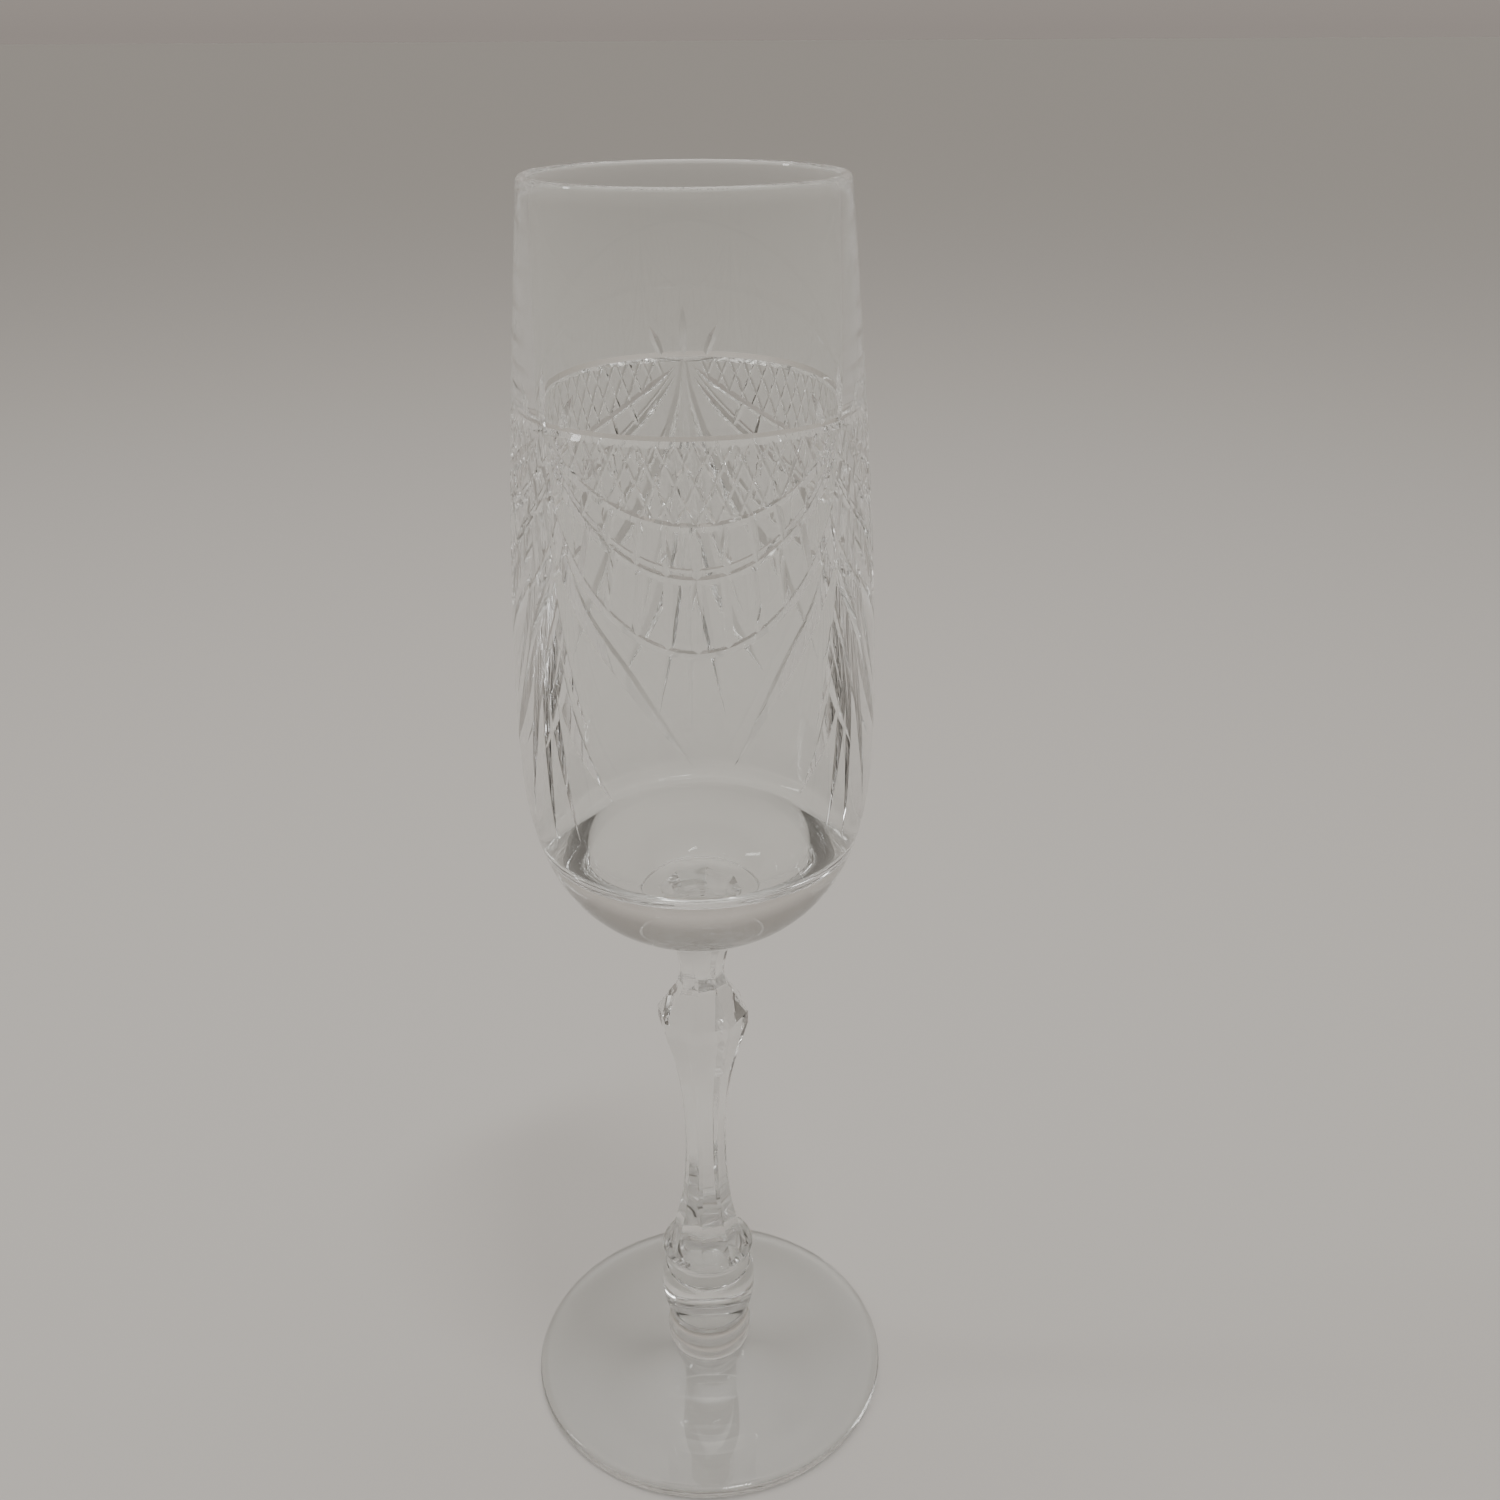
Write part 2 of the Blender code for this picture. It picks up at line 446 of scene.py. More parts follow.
def wall_radius(z):
    """Outer radius of the bowl: it draws in towards the rim, and rounds off to the base."""
    if z >= BELLY_Z:
        rise = (z - BELLY_Z) / (HEIGHT - BELLY_Z)
        return BELLY_RADIUS - (BELLY_RADIUS - RIM_RADIUS) * rise**SHOULDER_POWER
    drop = (BELLY_Z - z) / BASE_DEPTH
    return BELLY_RADIUS * math.sqrt(max(0.0, 1.0 - drop**BASE_POWER))


def on_wall(azimuth, z, depth):
    """A point this deep under the bowl's outer wall, and the way out of the glass there."""
    slope = (wall_radius(z + SLOPE_STEP) - wall_radius(z - SLOPE_STEP)) / (2 * SLOPE_STEP)
    turn = math.radians(azimuth)
    across = Vector((math.sin(turn), -math.cos(turn), 0.0))
    outward = (across + Vector((0.0, 0.0, -slope))).normalized()
    point = across * wall_radius(z) + Vector((0.0, 0.0, z))
    return point - outward * depth, outward


def smooth_run(points, count):
    """Catmull-Rom through the points, with this many steps from each to the next."""
    ends = [2 * points[0] - points[1], *points, 2 * points[-1] - points[-2]]
    run = []
    for a, b, c, d in zip(ends, ends[1:], ends[2:], ends[3:]):
        for i in range(count):
            t = i / count
            curve = 2 * a - 5 * b + 4 * c - d
            twist = 3 * b - a - 3 * c + d
            run.append(b + (c - a) * (t / 2) + curve * (t * t / 2) + twist * (t**3 / 2))
    return run + [points[-1]]


def arc(centre, radii, start, end, count, first=0):
    """Points on an elliptical arc in the (radius, height) plane, angles in degrees."""
    points = []
    for i in range(first, count + 1):
        angle = math.radians(start + (end - start) * i / count)
        points.append((centre[0] + radii[0] * math.cos(angle), centre[1] + radii[1] * math.sin(angle)))
    return points


def panels():
    """Each panel's left hub azimuth and width in degrees."""
    rights = HUB_AZIMUTHS[1:] + (HUB_AZIMUTHS[0] + FULL_TURN,)
    return [(left, right - left) for left, right in zip(HUB_AZIMUTHS, rights)]


def swag_height(swag, way):
    """Height of a swag at way from -1 at the left hub to 1 at the right one."""
    low, rise = swag
    rest = RING_Z / MM - low - rise
    return (low + rise * way**2 + rest * abs(way) ** SWAG_END_POWER) * MM


def panel_azimuth(panel, way):
    """Azimuth at way from -1 at the panel's left hub to 1 at its right one."""
    left, width = panel
    return left + width * (way + 1) / 2


def swag_cuts(panel, depth):
    """The three garlands that hang between two hubs, and a lighter line over the middle one."""
    lines = [(swag, 0.0, depth) for swag in SWAGS] + [(SWAGS[1], SWAG_COMPANION_LIFT, depth / 2)]
    count = round(math.radians(panel[1]) * BELLY_RADIUS / GUIDE_STEP)
    cuts = []
    for swag, lift, deepest in lines:
        path = []
        for i in range(count + 1):
            way = SWAG_REACH * (2 * i / count - 1)
            fade = min(1.0, (SWAG_REACH - abs(way)) / SWAG_FADE)
            path.append((panel_azimuth(panel, way), swag_height(swag, way) + lift, deepest * fade))
        cuts.append(path)
    return cuts


def hatch_cuts(panel, spacing, depth):
    """Steep crossing cuts that leave long diamonds between the ring and the first swag."""
    radius = wall_radius(RING_Z)
    step = math.degrees(spacing / radius)
    lean = math.degrees(1 / (radius * math.tan(HATCH_SLOPE)))
    middle = panel_azimuth(panel, 0.0)
    reach = round(panel[1] / step)
    rows = round((RING_Z - SWAGS[0][0] * MM) / GUIDE_STEP)
    cuts = []
    for side in (-1, 1):
        for i in range(-reach, reach + 1):
            path = []
            for row in range(rows + 1):
                z = RING_Z - GUIDE_STEP * row
                azimuth = middle + i * step + side * lean * (RING_Z - z)
                way = 2 * (azimuth - panel[0]) / panel[1] - 1
                if abs(way) < HATCH_REACH and z > swag_height(SWAGS[0], way):
                    path.append((azimuth, z, depth))
            if len(path) > 2:
                cuts.append(path)
    return cuts


def block_cuts(panel, spacing, depth):
    """Short cuts from swag to swag that split the two lower bands into blocks."""
    step = spacing / (math.radians(panel[1] / 2) * BELLY_RADIUS)
    reach = int(BLOCK_REACH / step)
    cuts = []
    for upper, lower in zip(SWAGS, SWAGS[1:]):
        for i in range(-reach, reach + 1):
            start = i * step
            end = start * BLOCK_SPLAY
            top, bottom = swag_height(upper, start), swag_height(lower, end)
            count = max(FEWEST_GUIDE_STEPS, round((top - bottom) / GUIDE_STEP))
            path = []
            for k in range(count + 1):
                t = k / count
                way = start + (end - start) * t
                path.append((panel_azimuth(panel, way), top + (bottom - top) * t, depth))
            cuts.append(path)
    return cuts


def blade_cut(hub, reach, stations, deepest):
    """One pointed cut that leaves the hub and ends in a tip on the plain glass."""
    places = ((0.0, RING_Z / MM), *stations)
    controls = [Vector((way, z, share)) for (way, z), share in zip(places, BLADE_DEPTHS)]
    run = smooth_run(controls, BLADE_STEPS)
    return [(hub + reach * way, z * MM, share * deepest * MM) for way, z, share in run]


def tassel_cuts(index):
    """All the blades of one tassel. Each side reaches across half of the panel beside it."""
    hub = HUB_AZIMUTHS[index]
    halves = [width / 2 for _, width in panels()]
    left, right = TASSEL_SPREADS[index]
    cuts = [blade_cut(hub, 0.0, MIDDLE_BLADE[:-1], MIDDLE_BLADE[-1])]
    for reach in (-left * halves[index - 1], right * halves[index]):
        cuts += [blade_cut(hub, reach, blade[:-1], blade[-1]) for blade in BLADES]
    return cuts


def crown_cuts(hub):
    """Short rays that stand on the ring over a hub."""
    cuts = []
    for offset, tip, deepest in CROWN_RAYS:
        heights = (RING_Z / MM, (RING_Z / MM + tip) / 2, tip)
        ways = [offset * share for share in CROWN_WAYS]
        controls = [Vector(station) for station in zip(ways, heights, CROWN_DEPTHS)]
        run = smooth_run(controls, RUN_STEPS)
        cuts.append([(hub + way, z * MM, share * deepest * MM) for way, z, share in run])
    return cuts


def fine_cuts(sizes):
    """The cuts of the fine wheel: swags, crossing cuts and blocks."""
    cuts = []
    for panel in panels():
        cuts += hatch_cuts(panel, sizes.hatch_spacing, sizes.hatch_depth)
        cuts += block_cuts(panel, sizes.block_spacing, sizes.block_depth)
        cuts += swag_cuts(panel, sizes.swag_depth)
    return cuts


def broad_cuts():
    """The cuts of the broad wheel: tassels and the crowns over them."""
    cuts = []
    for index, hub in enumerate(HUB_AZIMUTHS):
        cuts += tassel_cuts(index) + crown_cuts(hub)
    return cuts


def guide_object(name, cuts):
    """A mesh of edge chains along the bottoms of the cuts, each point with its outward way."""
    points, edges, ways = [], [], []
    for cut in cuts:
        first = len(points)
        for azimuth, z, depth in cut:
            point, outward = on_wall(azimuth, z, depth)
            points.append(point)
            ways.append(outward)
        edges += [(i, i + 1) for i in range(first, len(points) - 1)]
    mesh = bpy.data.meshes.new(name)
    mesh.from_pydata(points, edges, [])
    attribute = mesh.attributes.new("outward", "FLOAT_VECTOR", "POINT")
    for slot, way in zip(attribute.data, ways):
        slot.vector = way
    guides = bpy.data.objects.new(name, mesh)
    bpy.context.scene.collection.objects.link(guides)
    return guides


def wheel_tree():
    """Geometry nodes that run a V-edged wheel along each guide and cut it out of the blank."""
    tree = bpy.data.node_groups.new("wheel_cutting", "GeometryNodeTree")
    sockets = tree.interface
    sockets.new_socket("Blank", in_out="INPUT", socket_type="NodeSocketGeometry")
    sockets.new_socket("Guides", in_out="INPUT", socket_type="NodeSocketObject")
    sockets.new_socket("Wheel Height", in_out="INPUT", socket_type="NodeSocketFloat")
    sockets.new_socket("Wheel Half Width", in_out="INPUT", socket_type="NodeSocketFloat")
    sockets.new_socket("Crystal", in_out="INPUT", socket_type="NodeSocketMaterial")
    sockets.new_socket("Weld", in_out="INPUT", socket_type="NodeSocketMaterial")
    sockets.new_socket("Cut Bowl", in_out="OUTPUT", socket_type="NodeSocketGeometry")
    given = add(tree, "NodeGroupInput").outputs
    guides = add(tree, "GeometryNodeObjectInfo", None, {"Object": given["Guides"]})
    chains = add(tree, "GeometryNodeMeshToCurve", None, {"Mesh": guides.outputs["Geometry"]})
    way = add(tree, "GeometryNodeInputNamedAttribute", {"data_type": "FLOAT_VECTOR"}, {"Name": "outward"})
    curves = add(
        tree,
        "GeometryNodeSetCurveNormal",
        {"mode": "FREE"},
        {"Curve": chains.outputs["Curve"], "Normal": way.outputs["Attribute"]},
    )
    # A three-point circle, turned so that its first corner is the wheel's edge at the origin.
    triangle = add(
        tree, "GeometryNodeCurvePrimitiveCircle", {"mode": "RADIUS"}, {"Resolution": 3, "Radius": 1.0}
    )
    flipped = add(
        tree,
        "GeometryNodeTransform",
        None,
        {
            "Geometry": triangle.outputs["Curve"],
            "Translation": (1.0, 0.0, 0.0),
            "Rotation": (0.0, 0.0, math.pi),
        },
    )
    size = add(
        tree,
        "ShaderNodeCombineXYZ",
        None,
        {"X": given["Wheel Height"], "Y": given["Wheel Half Width"], "Z": 1.0},
    )
    edge = add(
        tree,
        "GeometryNodeTransform",
        None,
        {"Geometry": flipped.outputs["Geometry"], "Scale": size.outputs["Vector"]},
    )
    swept = add(
        tree,
        "GeometryNodeCurveToMesh",
        None,
        {"Curve": curves.outputs["Curve"], "Profile Curve": edge.outputs["Geometry"], "Fill Caps": True},
    )
    island = add(tree, "GeometryNodeInputMeshIsland")
    wheels = add(
        tree,
        "GeometryNodeSplitToInstances",
        {"domain": "POINT"},
        {"Geometry": swept.outputs["Mesh"], "Group ID": island.outputs["Island Index"]},
    )
    cut = add(
        tree,
        "GeometryNodeMeshBoolean",
        {"operation": "DIFFERENCE", "solver": "MANIFOLD"},
        {"Mesh 1": given["Blank"], "Mesh 2": wheels.outputs["Instances"]},
    )
    real = add(tree, "GeometryNodeRealizeInstances", None, {"Geometry": cut.outputs["Mesh"]})
    weld_faces = add(tree, "GeometryNodeMaterialSelection", None, {"Material": given["Weld"]})
    glass_faces = add(
        tree,
        "FunctionNodeBooleanMath",
        {"operation": "NOT"},
        {"Boolean": weld_faces.outputs["Selection"]},
    )
    finish = add(
        tree,
        "GeometryNodeSetMaterial",
        None,
        {
            "Geometry": real.outputs["Geometry"],
            "Selection": glass_faces.outputs["Boolean"],
            "Material": given["Crystal"],
        },
    )
    output = add(tree, "NodeGroupOutput")
    tree.links.new(finish.outputs["Geometry"], output.inputs["Cut Bowl"])
    return tree


def ring_of(solid, radius, z, sides):
    """A ring of corners, or one point on the axis."""
    if radius == 0.0:
        return [solid.verts.new((0.0, 0.0, z))]
    ring = []
    for i in range(sides):
        angle = STEM_TURN + 2 * math.pi * i / sides
        ring.append(solid.verts.new((radius * math.cos(angle), radius * math.sin(angle), z)))
    return ring


def join_rings(solid, first, second):
    """Faces between two rings of the same size, or a ring and a pole."""
    count = max(len(first), len(second))
    for i in range(count):
        j = (i + 1) % count
        upper = [first[i % len(first)], first[j % len(first)]]
        lower = [second[j % len(second)], second[i % len(second)]]
        solid.faces.new(list(dict.fromkeys(upper + lower)))


def seal(solid, edge, patch_radius, patch_sides):
    """Closes an open end: a welded patch, and polished glass in what is left around it."""
    radius = math.hypot(edge[0].co.x, edge[0].co.y)
    if patch_sides == len(edge) and abs(radius - patch_radius) < NEAR:
        solid.faces.new(edge).material_index = 1
        return
    patch = ring_of(solid, patch_radius, edge[0].co.z, patch_sides)
    span = len(edge) // patch_sides
    for i in range(patch_sides):
        outer = [edge[(i * span + k) % len(edge)] for k in range(span + 1)]
        solid.faces.new([patch[(i + 1) % patch_sides], patch[i]] + outer)
    solid.faces.new(patch).material_index = 1


def finished(name, solid, materials):
    """Turns the bmesh into a named object with outward faces and crisp edges kept."""
    bmesh.ops.recalc_face_normals(solid, faces=solid.faces)
    mesh = bpy.data.meshes.new(name)
    solid.to_mesh(mesh)
    solid.free()
    for material in materials:
        mesh.materials.append(material)
    mesh.shade_smooth()
    mesh.set_sharp_from_angle(angle=SMOOTH_ANGLE)
    piece = bpy.data.objects.new(name, mesh)
    bpy.context.scene.collection.objects.link(piece)
    return piece


def stacked(name, outline, sides, materials, top_patch=None, base_patch=None):
    """A piece made of rings down an outline, sealed at its ends with (radius, sides) patches."""
    solid = bmesh.new()
    rings = [ring_of(solid, radius, z, sides) for radius, z in outline]
    for first, second in zip(rings, rings[1:]):
        join_rings(solid, first, second)
    if top_patch:
        seal(solid, rings[0], *top_patch)
    if base_patch:
        seal(solid, rings[-1], *base_patch)
    return finished(name, solid, materials)


def bowl_outline():
    """From the cavity's floor up the inside, over the lip and down the outside to the base."""
    lip = RIM_WALL / 2
    shoulder_z = HEIGHT - lip
    corner_centre = (CAVITY_RADIUS - CAVITY_CORNER_RADIUS, CAVITY_CORNER_Z)
    floor_z = CAVITY_CORNER_Z - CAVITY_CORNER_RADIUS
    outline = [(corner_centre[0] * i / FLOOR_RINGS, floor_z) for i in range(FLOOR_RINGS)]
    outline += arc(corner_centre, (CAVITY_CORNER_RADIUS,) * 2, -90, 0, 2 * ARC_STEPS)
    inner_top = wall_radius(shoulder_z) - RIM_WALL
    count = round((shoulder_z - CAVITY_CORNER_Z) / (2 * WALL_STEP))
    for i in range(1, count):
        t = i / count
        z = CAVITY_CORNER_Z + (shoulder_z - CAVITY_CORNER_Z) * t
        outline.append((CAVITY_RADIUS + (inner_top - CAVITY_RADIUS) * t, z))
    outline += arc((wall_radius(shoulder_z) - lip, shoulder_z), (lip, lip), 180, 0, LIP_STEPS)
    outline += outer_run(shoulder_z, RING_Z + RING_WIDTH / 2)[1:]
    outline.append((wall_radius(RING_Z) - RING_DEPTH, RING_Z))
    outline += outer_run(RING_Z - RING_WIDTH / 2, BELLY_Z)
    for i in range(1, BASE_STEPS):
        z = BELLY_Z - math.sin(math.radians(90) * i / BASE_STEPS) * (BELLY_Z - BOWL_BASE_Z)
        outline.append((wall_radius(z), z))
    outline.append((BOWL_BASE_RADIUS, BOWL_BASE_Z))
    edge_centre = (BOWL_BASE_RADIUS - BUTTON_EDGE, BOWL_JOINT_Z + BUTTON_EDGE)
    return outline + arc(edge_centre, (BUTTON_EDGE, BUTTON_EDGE), 0, -90, BUTTON_STEPS)


def outer_run(top, bottom):
    """Even steps down the bowl's outer wall."""
    count = round((top - bottom) / WALL_STEP)
    heights = [top + (bottom - top) * i / count for i in range(count + 1)]
    return [(wall_radius(z), z) for z in heights]


def cut_with(blank, tree, name, cuts, angle):
    """Adds a wheel of this angle to the blank, which follows the cuts. Returns its guides."""
    guides = guide_object(name, cuts)
    modifier = blank.modifiers.new(name, "NODES")
    modifier.node_group = tree
    values = {
        "Guides": guides,
        "Wheel Height": WHEEL_HEIGHT / TRIANGLE_HEIGHT,
        "Wheel Half Width": WHEEL_HEIGHT * math.tan(angle / 2) / TRIANGLE_HALF_WIDTH,
        "Crystal": blank.data.materials[0],
        "Weld": blank.data.materials[1],
    }
    for item in tree.interface.items_tree:
        if item.name in values:
            modifier[item.identifier] = values[item.name]
    return guides


def build_bowl(sizes):
    """Turns the blank, cuts it with both wheels and keeps the result as a plain mesh."""
    materials = [crystal("cut_lead_crystal", BOWL_WAVE), shared_weld()]
    patch = (STEM_TOP_RADIUS, STEM_SIDES)
    blank = stacked("bowl_blank", bowl_outline(), ROUND_SIDES, materials, None, patch)
    tree = wheel_tree()
    helpers = [
        blank,
        cut_with(blank, tree, "fine_wheel", fine_cuts(sizes), sizes.fine_angle),
        cut_with(blank, tree, "broad_wheel", broad_cuts(), sizes.broad_angle),
    ]
    graph = bpy.context.evaluated_depsgraph_get()
    mesh = bpy.data.meshes.new_from_object(blank.evaluated_get(graph), depsgraph=graph)
    mesh.name = "cut_bowl"
    mesh.shade_smooth()
    mesh.set_sharp_from_angle(angle=SMOOTH_ANGLE)
    piece = bpy.data.objects.new("cut_bowl", mesh)
    bpy.context.scene.collection.objects.link(piece)
    for helper in helpers:
        bpy.data.objects.remove(helper)
    placed(piece, "bowl")


def placed(piece, node):
    """Lets the piece ride with the glass and stand for its CAD node."""
    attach(piece, "root")
    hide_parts(node)


def stem_outline():
    """Heights and corner radii from the bowl down to the collar."""
    outline = []
    for run in (STEM_UPPER_RUN, STEM_BELT_RUN, STEM_LOWER_RUN):
        points = [Vector((radius * MM, z * MM)) for z, radius in reversed(run)]
        count = 1 if len(points) == 2 else RUN_STEPS
        outline += [tuple(point) for point in smooth_run(points, count)]
    merged = [outline[0]]
    for point in outline[1:]:
        if math.dist(point, merged[-1]) > NEAR:
            merged.append(point)
    return merged


def collar_outline():
    """A crisp-edged disc over a slightly waisted band."""
    centre = (COLLAR_RADIUS - COLLAR_EDGE, STEM_JOINT_Z - COLLAR_EDGE)
    rim = arc(centre, (COLLAR_EDGE, COLLAR_EDGE), 90, COLLAR_EDGE_END, COLLAR_EDGE_STEPS)
    waist_z = (STEM_JOINT_Z + COLLAR_JOINT_Z) / 2
    controls = (rim[-1], (COLLAR_WAIST_RADIUS, waist_z), (COLLAR_BASE_RADIUS, COLLAR_JOINT_Z))
    controls = [Vector(point) for point in controls]
    return rim + [tuple(point) for point in smooth_run(controls, ARC_STEPS)][1:]


def knop_outline():
    """The larger rounded knop, from the collar to the narrow waist."""
    above = arc(
        (COLLAR_BASE_RADIUS, KNOP_BELLY_Z),
        (KNOP_RADIUS - COLLAR_BASE_RADIUS, COLLAR_JOINT_Z - KNOP_BELLY_Z),
        90,
        0,
        ARC_STEPS,
    )
    below = arc(
        (KNOP_BASE_RADIUS + FILLET, KNOP_BELLY_Z),
        (KNOP_RADIUS - KNOP_BASE_RADIUS - FILLET, KNOP_BELLY_Z - KNOP_JOINT_Z - FILLET),
        0,
        -90,
        ARC_STEPS,
        1,
    )
    fillet = arc((KNOP_BASE_RADIUS + FILLET, KNOP_JOINT_Z), (FILLET, FILLET), 90, 180, FILLET_STEPS, 1)
    return above + below + fillet


def hub_outline():
    """The smaller knop that sits on the foot."""
    fillet = arc((KNOP_BASE_RADIUS + FILLET, KNOP_JOINT_Z), (FILLET, FILLET), 180, 270, FILLET_STEPS)
    above = arc(
        (KNOP_BASE_RADIUS + FILLET, HUB_BELLY_Z),
        (HUB_RADIUS - KNOP_BASE_RADIUS - FILLET, KNOP_JOINT_Z - FILLET - HUB_BELLY_Z),
        90,
        0,
        ARC_STEPS,
        1,
    )
    below = arc(
        (HUB_BASE_RADIUS, HUB_BELLY_Z),
        (HUB_RADIUS - HUB_BASE_RADIUS, HUB_BELLY_Z - FOOT_JOINT_Z),
        0,
        -90,
        ARC_STEPS,
        1,
    )
    return fillet + above + below


def foot_outline():
    """A thin disc that rises to the hub, with a rounded edge and a flat underside."""
    edge_radius = FOOT_RADIUS - FOOT_ROLL_RADIUS
    edge_z = FOOT_EDGE - FOOT_ROLL_HEIGHT
    flat_radius = FOOT_RADIUS - edge_z
    outline = []
    for i in range(SWEEP_STEPS + 1):
        t = i / SWEEP_STEPS
        rise = (FOOT_JOINT_Z - FOOT_EDGE) * (1.0 - t) ** FOOT_SWEEP_POWER
        outline.append((HUB_BASE_RADIUS + (edge_radius - HUB_BASE_RADIUS) * t, FOOT_EDGE + rise))
    outline += arc((edge_radius, edge_z), (FOOT_ROLL_RADIUS, FOOT_ROLL_HEIGHT), 90, 0, ARC_STEPS, 1)
    outline += arc((flat_radius, edge_z), (edge_z, edge_z), 0, -90, ARC_STEPS, 1)
    return outline + [(flat_radius * i / FLOOR_RINGS, 0.0) for i in range(FLOOR_RINGS - 1, -1, -1)]


class FLUTE_OT_bowl(bpy.types.Operator):
    """Turn the bowl and cut its pattern"""

    bl_idname = "flute.bowl"
    bl_label = "Cut Bowl"

    def execute(self, context):
        build_bowl(context.scene.flute_cuts)
        return {"FINISHED"}


class FLUTE_OT_stem(bpy.types.Operator):
    """Build the eight-sided stem"""

    bl_idname = "flute.stem"
    bl_label = "Faceted Stem"

    def execute(self, context):
        materials = [crystal("facet_cut_lead_crystal", STEM_WAVE), shared_weld()]
        ends = (STEM_TOP_RADIUS, STEM_SIDES), (STEM_BASE_RADIUS, STEM_SIDES)
        piece = stacked("faceted_stem", stem_outline(), STEM_SIDES, materials, *ends)
        placed(piece, "stem")
        return {"FINISHED"}


class FLUTE_OT_joints(bpy.types.Operator):
    """Build the collar, the knop and the hub"""

    bl_idname = "flute.joints"
    bl_label = "Collar, Knop and Hub"

    def execute(self, context):
        materials = [crystal("tooled_lead_crystal", TOOLED_WAVE), shared_weld()]
        collar_top = (STEM_BASE_RADIUS, STEM_SIDES)
        collar_base = (COLLAR_BASE_RADIUS, ROUND_SIDES)
        knop_base = (KNOP_BASE_RADIUS, ROUND_SIDES)
        hub_base = (HUB_BASE_RADIUS, ROUND_SIDES)
        collar = stacked("collar_ring", collar_outline(), ROUND_SIDES, materials, collar_top, collar_base)
        knop = stacked("rounded_knop", knop_outline(), ROUND_SIDES, materials, collar_base, knop_base)
        hub = stacked("foot_hub", hub_outline(), ROUND_SIDES, materials, knop_base, hub_base)
        for piece, node in ((collar, "collar"), (knop, "knop"), (hub, "hub")):
            placed(piece, node)
        return {"FINISHED"}


class FLUTE_OT_foot(bpy.types.Operator):
    """Build the foot"""

    bl_idname = "flute.foot"
    bl_label = "Foot"

    def execute(self, context):
        materials = [crystal("pressed_lead_crystal", FOOT_WAVE), shared_weld()]
        patch = (HUB_BASE_RADIUS, ROUND_SIDES)
        placed(stacked("round_foot", foot_outline(), ROUND_SIDES, materials, patch), "foot")
        return {"FINISHED"}


def softbox(name, place, target, size, power):
    """An area lamp aimed at a point."""
    lamp = bpy.data.lights.new(name, "AREA")
    lamp.shape = "RECTANGLE"
    lamp.size, lamp.size_y = size
    lamp.energy = power
    holder = bpy.data.objects.new(name, lamp)
    holder.location = place
    holder.rotation_euler = (Vector(target) - Vector(place)).to_track_quat("-Z", "Y").to_euler()
    bpy.context.scene.collection.objects.link(holder)
    return holder


def make_lamps():
    """Two softboxes that make the glints, and a lamp for the floor alone."""
    look = bpy.context.scene.flute_stage
    glint_power = look.lamp_power
    softbox("overhead_softbox", OVERHEAD_PLACE, LAMP_TARGET, OVERHEAD_SIZE, glint_power)
    softbox("left_softbox", LEFT_PLACE, LAMP_TARGET, LEFT_SIZE, glint_power * LEFT_SHARE)
    place, target = FLOOR_LAMP_PLACE, FLOOR_LAMP_TARGET
    lamp = softbox("floor_lamp", place, target, FLOOR_LAMP_SIZE, look.floor_power)
    # The glass neither shades this lamp nor shows it.
    lamp.data.use_shadow = False
    lamp.visible_glossy = False
    lamp.visible_transmission = False


def make_camera():
    """The viewpoint: just above the rim and close, looking down the glass."""
    pitch, yaw, roll = (math.radians(angle) for angle in (CAMERA_PITCH, CAMERA_YAW, CAMERA_ROLL))
    ahead = Vector((math.sin(yaw) * math.cos(pitch), math.cos(yaw) * math.cos(pitch), math.sin(pitch)))
    level = Vector((math.cos(yaw), -math.sin(yaw), 0.0))
    upright = level.cross(ahead)
    right = math.cos(roll) * level + math.sin(roll) * upright
    up = math.cos(roll) * upright - math.sin(roll) * level
    camera = bpy.data.cameras.new("camera")
    camera.lens = CAMERA_LENS
    camera.sensor_width = CAMERA_SENSOR
    camera.clip_start = CAMERA_CLIP
    holder = bpy.data.objects.new("camera", camera)
    columns = Matrix((right, up, -ahead)).transposed().to_4x4()
    holder.matrix_world = Matrix.Translation(CAMERA_PLACE) @ columns
    bpy.context.scene.collection.objects.link(holder)
    bpy.context.scene.camera = holder


def make_floor():
    """One large board under the foot."""
    half = FLOOR_SIZE / 2
    corners = [(-half, -half), (half, -half), (half, half), (-half, half)]
    mesh = bpy.data.meshes.new("floor")
    mesh.from_pydata([(x, y, -FLOOR_DROP) for x, y in corners], [], [(0, 1, 2, 3)])
    mesh.materials.append(floor_paint())
    floor = bpy.data.objects.new("floor", mesh)
    bpy.context.scene.collection.objects.link(floor)


def set_stops(ramp, stops):
    """Gives a colour ramp its (position, hex colour) stops."""
    elements = ramp.color_ramp.elements
    while len(elements) < len(stops):
        elements.new(1.0)
    for element, (position, colour) in zip(elements, stops):
        element.position = position
        element.color = linear(colour)


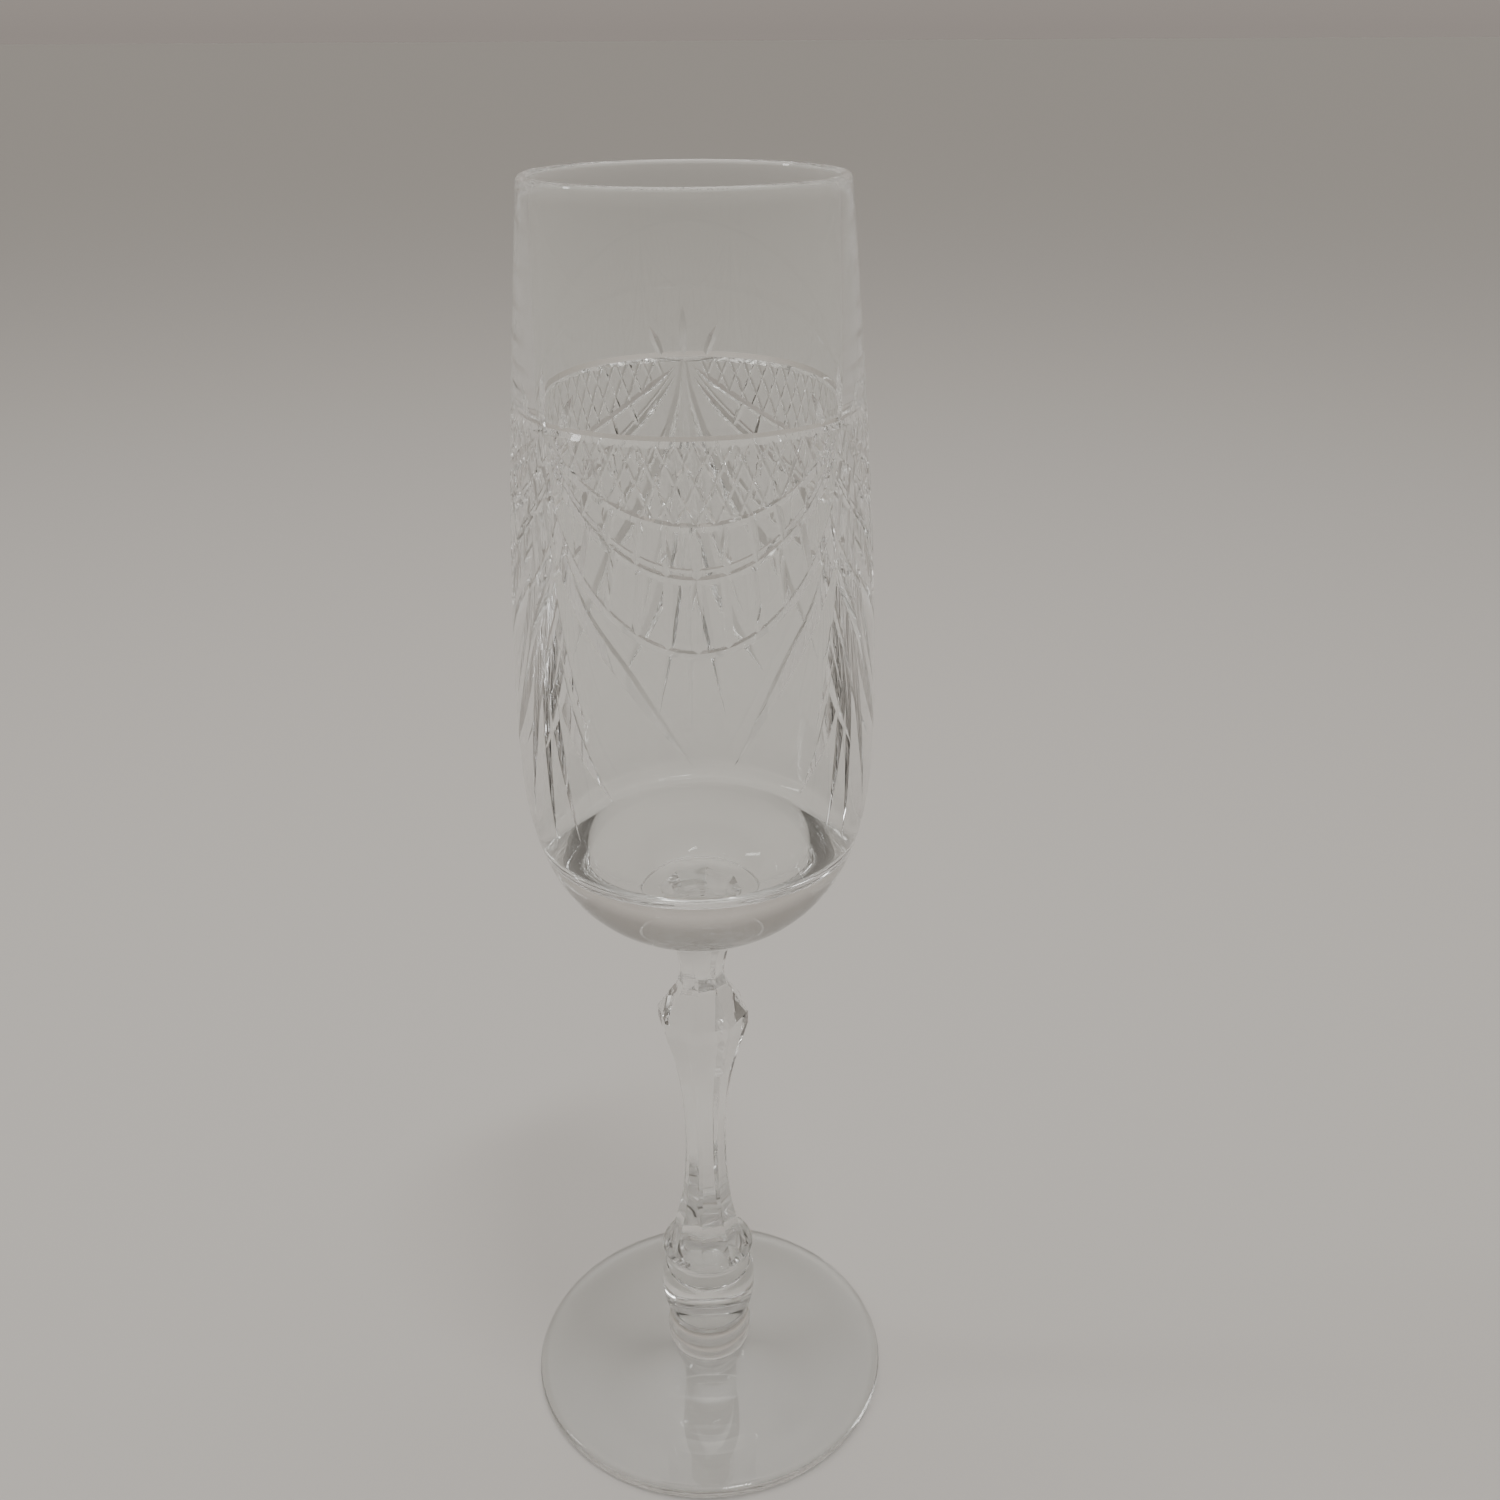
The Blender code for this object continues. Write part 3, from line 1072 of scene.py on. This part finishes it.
def make_sky():
    """Soft light from above, dimmer behind the camera and near the horizon.

    The thick glass shows those dim parts as its dark edges.
    """
    look = bpy.context.scene.flute_stage
    world = bpy.data.worlds.new("studio")
    bpy.context.scene.world = world
    world.use_nodes = True
    tree = world.node_tree
    tree.nodes.clear()
    way = add(tree, "ShaderNodeTexCoord").outputs["Generated"]
    axes = add(tree, "ShaderNodeSeparateXYZ", None, {"Vector": way}).outputs
    height = add(tree, "ShaderNodeValToRGB", None, {"Fac": axes["Z"]})
    set_stops(height, SKY_HEIGHTS)
    strength = add(
        tree,
        "ShaderNodeMapRange",
        None,
        {
            "Value": axes["Y"],
            "From Min": ROOM_EDGES[0],
            "From Max": ROOM_EDGES[1],
            "To Min": look.sky_strength * ROOM_DIMNESS,
            "To Max": look.sky_strength,
        },
    )
    light = add(
        tree,
        "ShaderNodeBackground",
        None,
        {"Color": height.outputs["Color"], "Strength": strength.outputs["Result"]},
    )
    low = add(tree, "ShaderNodeValToRGB", None, {"Fac": axes["Z"]})
    set_stops(low, HORIZON_HEIGHTS)
    band = add(tree, "ShaderNodeBackground", None, {"Color": low.outputs["Color"]})
    both = add(tree, "ShaderNodeAddShader", None, {0: light.outputs[0], 1: band.outputs[0]})
    output = add(tree, "ShaderNodeOutputWorld")
    tree.links.new(both.outputs["Shader"], output.inputs["Surface"])


def allow_bounces():
    """Lets light follow its whole way through the glass."""
    paths = bpy.context.scene.cycles
    paths.max_bounces = LIGHT_BOUNCES
    paths.glossy_bounces = LIGHT_BOUNCES
    paths.transmission_bounces = LIGHT_BOUNCES
    paths.transparent_max_bounces = LIGHT_BOUNCES


class FLUTE_OT_stage(bpy.types.Operator):
    """Build the floor, the lights and the camera"""

    bl_idname = "flute.stage"
    bl_label = "Stage"

    def execute(self, context):
        make_floor()
        make_sky()
        make_lamps()
        make_camera()
        allow_bounces()
        return {"FINISHED"}


class FLUTE_PT_sidebar(bpy.types.Panel):
    """Lists the flute's sizes, finishes and operators"""

    bl_idname = "FLUTE_PT_sidebar"
    bl_label = "Crystal Flute"
    bl_space_type = "VIEW_3D"
    bl_region_type = "UI"
    bl_category = "Flute"

    def draw(self, context):
        layout = self.layout
        for group in (context.scene.flute_cuts, context.scene.flute_crystal, context.scene.flute_stage):
            for name in group.__annotations__:
                layout.prop(group, name)
        for operator in OPERATORS:
            layout.operator(operator.bl_idname)


OPERATORS = (FLUTE_OT_bowl, FLUTE_OT_stem, FLUTE_OT_joints, FLUTE_OT_foot, FLUTE_OT_stage)
GROUPS = {"flute_cuts": FluteCuts, "flute_crystal": FluteCrystal, "flute_stage": FluteStage}


def register():
    for kind in (*GROUPS.values(), *OPERATORS, FLUTE_PT_sidebar):
        bpy.utils.register_class(kind)
    for name, kind in GROUPS.items():
        setattr(bpy.types.Scene, name, PointerProperty(type=kind))


def unregister():
    for name in GROUPS:
        delattr(bpy.types.Scene, name)
    for kind in (FLUTE_PT_sidebar, *reversed(OPERATORS), *reversed(GROUPS.values())):
        bpy.utils.unregister_class(kind)


def main():
    register()
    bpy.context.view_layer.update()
    bpy.ops.flute.bowl()
    bpy.ops.flute.stem()
    bpy.ops.flute.joints()
    bpy.ops.flute.foot()
    bpy.ops.flute.stage()


if __name__ == "__main__":
    main()
